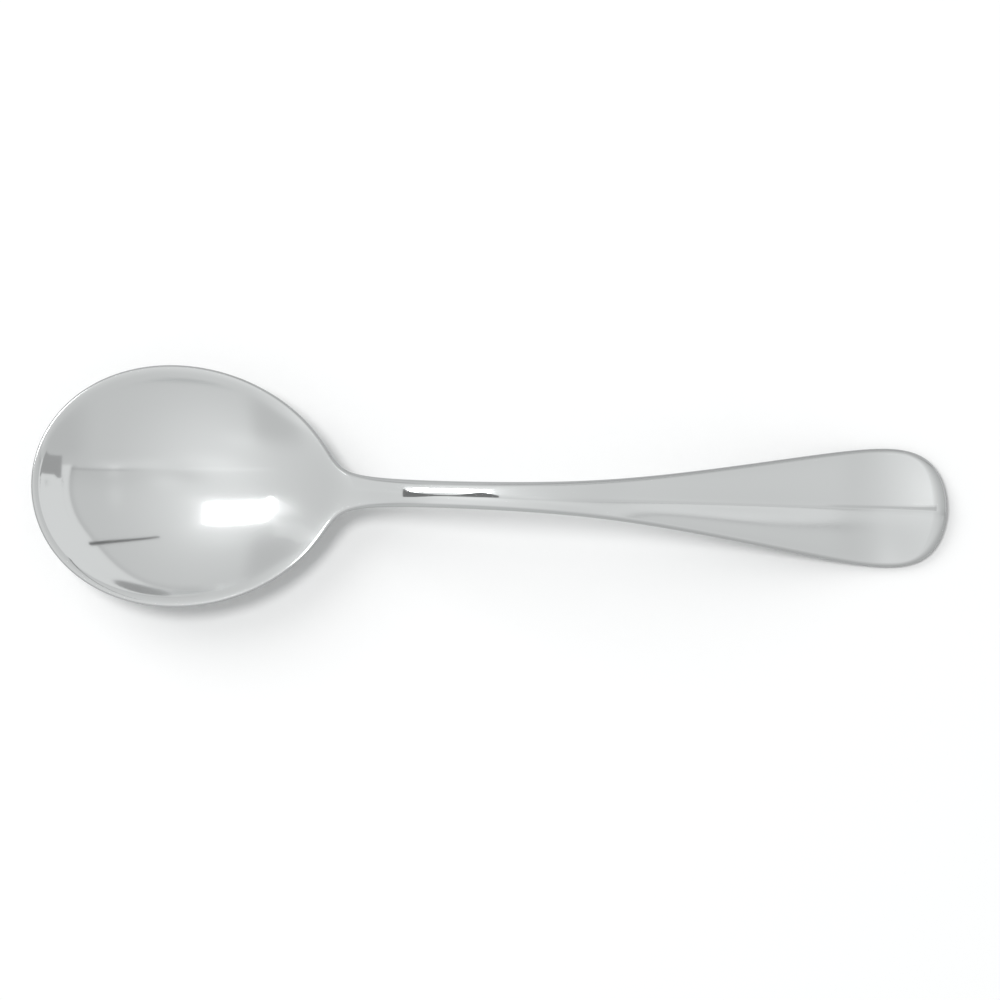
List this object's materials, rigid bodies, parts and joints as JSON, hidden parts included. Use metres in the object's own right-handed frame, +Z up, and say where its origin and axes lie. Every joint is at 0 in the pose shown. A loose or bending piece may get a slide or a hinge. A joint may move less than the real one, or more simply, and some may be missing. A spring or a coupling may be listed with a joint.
{
  "type": "soup spoon",
  "caption": "Soup spoon with a round, deep bowl, a slim arched neck and a flared handle with a soft ridge along its middle.",
  "frame": {"origin": "on the table surface, under the middle of the spoon's length and width", "axes": "+X from the bowl's tip towards the end of the handle, +Y across the spoon, +Z up out of the bowl's hollow"},
  "size_m": [0.175, 0.0462, 0.0204],
  "materials": {
    "polished_steel": "mirror-polished stainless steel with faint polishing marks and light wear on the rim and the handle's end"
  },
  "bodies": {
    "root": {"spoon": "polished_steel"}
  },
  "joints": []
}
